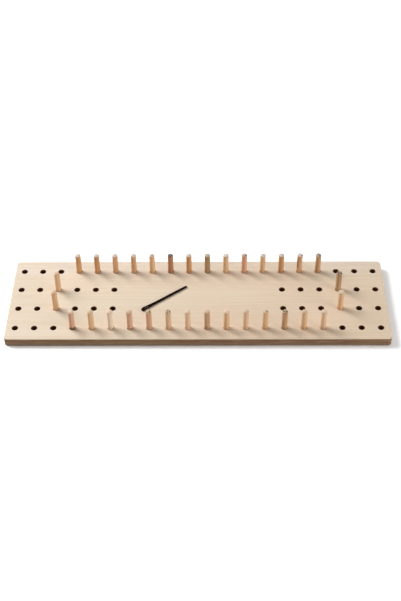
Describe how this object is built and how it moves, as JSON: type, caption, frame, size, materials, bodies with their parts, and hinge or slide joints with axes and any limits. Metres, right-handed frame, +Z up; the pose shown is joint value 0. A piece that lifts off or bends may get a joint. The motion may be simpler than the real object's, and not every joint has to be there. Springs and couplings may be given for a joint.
{
  "type": "peg loom",
  "caption": "Flat wooden peg loom: a long drilled board with rows of loose dowel pegs standing round a bare middle, and a blunt plastic needle lying on it.",
  "frame": {"origin": "middle of the board's flat underside, where it rests on the table", "axes": "+X along the board towards its right-hand end, +Y across the board from its front edge to its back edge, +Z up out of the peg holes"},
  "size_m": [0.5, 0.145, 0.0445],
  "materials": {
    "board_wood": "matte",
    "dowel_wood": "matte",
    "needle_plastic": "satin"
  },
  "bodies": {
    "board": {"board": "board_wood"},
    "peg_back_01": {"peg_back_01": "dowel_wood"},
    "peg_back_02": {"peg_back_02": "dowel_wood"},
    "peg_back_03": {"peg_back_03": "dowel_wood"},
    "peg_back_04": {"peg_back_04": "dowel_wood"},
    "peg_back_05": {"peg_back_05": "dowel_wood"},
    "peg_back_06": {"peg_back_06": "dowel_wood"},
    "peg_back_07": {"peg_back_07": "dowel_wood"},
    "peg_back_08": {"peg_back_08": "dowel_wood"},
    "peg_back_09": {"peg_back_09": "dowel_wood"},
    "peg_back_10": {"peg_back_10": "dowel_wood"},
    "peg_back_11": {"peg_back_11": "dowel_wood"},
    "peg_back_12": {"peg_back_12": "dowel_wood"},
    "peg_back_13": {"peg_back_13": "dowel_wood"},
    "peg_back_14": {"peg_back_14": "dowel_wood"},
    "peg_front_01": {"peg_front_01": "dowel_wood"},
    "peg_front_02": {"peg_front_02": "dowel_wood"},
    "peg_front_03": {"peg_front_03": "dowel_wood"},
    "peg_front_04": {"peg_front_04": "dowel_wood"},
    "peg_front_05": {"peg_front_05": "dowel_wood"},
    "peg_front_06": {"peg_front_06": "dowel_wood"},
    "peg_front_07": {"peg_front_07": "dowel_wood"},
    "peg_front_08": {"peg_front_08": "dowel_wood"},
    "peg_front_09": {"peg_front_09": "dowel_wood"},
    "peg_front_10": {"peg_front_10": "dowel_wood"},
    "peg_front_11": {"peg_front_11": "dowel_wood"},
    "peg_front_12": {"peg_front_12": "dowel_wood"},
    "peg_front_13": {"peg_front_13": "dowel_wood"},
    "peg_front_14": {"peg_front_14": "dowel_wood"},
    "peg_left_1": {"peg_left_1": "dowel_wood"},
    "peg_left_2": {"peg_left_2": "dowel_wood"},
    "peg_right_1": {"peg_right_1": "dowel_wood"},
    "peg_right_2": {"peg_right_2": "dowel_wood"},
    "needle": {"needle": "needle_plastic"}
  },
  "joints": [
    {"name": "needle_lift", "type": "slide", "parent": "board", "child": "needle", "axis": [0, 0, 1], "range_m": [0, 0.05]},
    {"name": "peg_left_1_lift", "type": "slide", "parent": "board", "child": "peg_left_1", "axis": [0, 0, 1], "range_m": [0, 0.05]},
    {"name": "peg_left_2_lift", "type": "slide", "parent": "board", "child": "peg_left_2", "axis": [0, 0, 1], "range_m": [0, 0.05]},
    {"name": "peg_right_1_lift", "type": "slide", "parent": "board", "child": "peg_right_1", "axis": [0, 0, 1], "range_m": [0, 0.05]},
    {"name": "peg_right_2_lift", "type": "slide", "parent": "board", "child": "peg_right_2", "axis": [0, 0, 1], "range_m": [0, 0.05]},
    {"name": "peg_back_01_lift", "type": "slide", "parent": "board", "child": "peg_back_01", "axis": [0, 0, 1], "range_m": [0, 0.05]},
    {"name": "peg_back_02_lift", "type": "slide", "parent": "board", "child": "peg_back_02", "axis": [0, 0, 1], "range_m": [0, 0.05]},
    {"name": "peg_back_03_lift", "type": "slide", "parent": "board", "child": "peg_back_03", "axis": [0, 0, 1], "range_m": [0, 0.05]},
    {"name": "peg_back_04_lift", "type": "slide", "parent": "board", "child": "peg_back_04", "axis": [0, 0, 1], "range_m": [0, 0.05]},
    {"name": "peg_back_05_lift", "type": "slide", "parent": "board", "child": "peg_back_05", "axis": [0, 0, 1], "range_m": [0, 0.05]},
    {"name": "peg_back_06_lift", "type": "slide", "parent": "board", "child": "peg_back_06", "axis": [0, 0, 1], "range_m": [0, 0.05]},
    {"name": "peg_back_07_lift", "type": "slide", "parent": "board", "child": "peg_back_07", "axis": [0, 0, 1], "range_m": [0, 0.05]},
    {"name": "peg_back_08_lift", "type": "slide", "parent": "board", "child": "peg_back_08", "axis": [0, 0, 1], "range_m": [0, 0.05]},
    {"name": "peg_back_09_lift", "type": "slide", "parent": "board", "child": "peg_back_09", "axis": [0, 0, 1], "range_m": [0, 0.05]},
    {"name": "peg_back_10_lift", "type": "slide", "parent": "board", "child": "peg_back_10", "axis": [0, 0, 1], "range_m": [0, 0.05]},
    {"name": "peg_back_11_lift", "type": "slide", "parent": "board", "child": "peg_back_11", "axis": [0, 0, 1], "range_m": [0, 0.05]},
    {"name": "peg_back_12_lift", "type": "slide", "parent": "board", "child": "peg_back_12", "axis": [0, 0, 1], "range_m": [0, 0.05]},
    {"name": "peg_back_13_lift", "type": "slide", "parent": "board", "child": "peg_back_13", "axis": [0, 0, 1], "range_m": [0, 0.05]},
    {"name": "peg_back_14_lift", "type": "slide", "parent": "board", "child": "peg_back_14", "axis": [0, 0, 1], "range_m": [0, 0.05]},
    {"name": "peg_front_01_lift", "type": "slide", "parent": "board", "child": "peg_front_01", "axis": [0, 0, 1], "range_m": [0, 0.05]},
    {"name": "peg_front_02_lift", "type": "slide", "parent": "board", "child": "peg_front_02", "axis": [0, 0, 1], "range_m": [0, 0.05]},
    {"name": "peg_front_03_lift", "type": "slide", "parent": "board", "child": "peg_front_03", "axis": [0, 0, 1], "range_m": [0, 0.05]},
    {"name": "peg_front_04_lift", "type": "slide", "parent": "board", "child": "peg_front_04", "axis": [0, 0, 1], "range_m": [0, 0.05]},
    {"name": "peg_front_05_lift", "type": "slide", "parent": "board", "child": "peg_front_05", "axis": [0, 0, 1], "range_m": [0, 0.05]},
    {"name": "peg_front_06_lift", "type": "slide", "parent": "board", "child": "peg_front_06", "axis": [0, 0, 1], "range_m": [0, 0.05]},
    {"name": "peg_front_07_lift", "type": "slide", "parent": "board", "child": "peg_front_07", "axis": [0, 0, 1], "range_m": [0, 0.05]},
    {"name": "peg_front_08_lift", "type": "slide", "parent": "board", "child": "peg_front_08", "axis": [0, 0, 1], "range_m": [0, 0.05]},
    {"name": "peg_front_09_lift", "type": "slide", "parent": "board", "child": "peg_front_09", "axis": [0, 0, 1], "range_m": [0, 0.05]},
    {"name": "peg_front_10_lift", "type": "slide", "parent": "board", "child": "peg_front_10", "axis": [0, 0, 1], "range_m": [0, 0.05]},
    {"name": "peg_front_11_lift", "type": "slide", "parent": "board", "child": "peg_front_11", "axis": [0, 0, 1], "range_m": [0, 0.05]},
    {"name": "peg_front_12_lift", "type": "slide", "parent": "board", "child": "peg_front_12", "axis": [0, 0, 1], "range_m": [0, 0.05]},
    {"name": "peg_front_13_lift", "type": "slide", "parent": "board", "child": "peg_front_13", "axis": [0, 0, 1], "range_m": [0, 0.05]},
    {"name": "peg_front_14_lift", "type": "slide", "parent": "board", "child": "peg_front_14", "axis": [0, 0, 1], "range_m": [0, 0.05]}
  ]
}
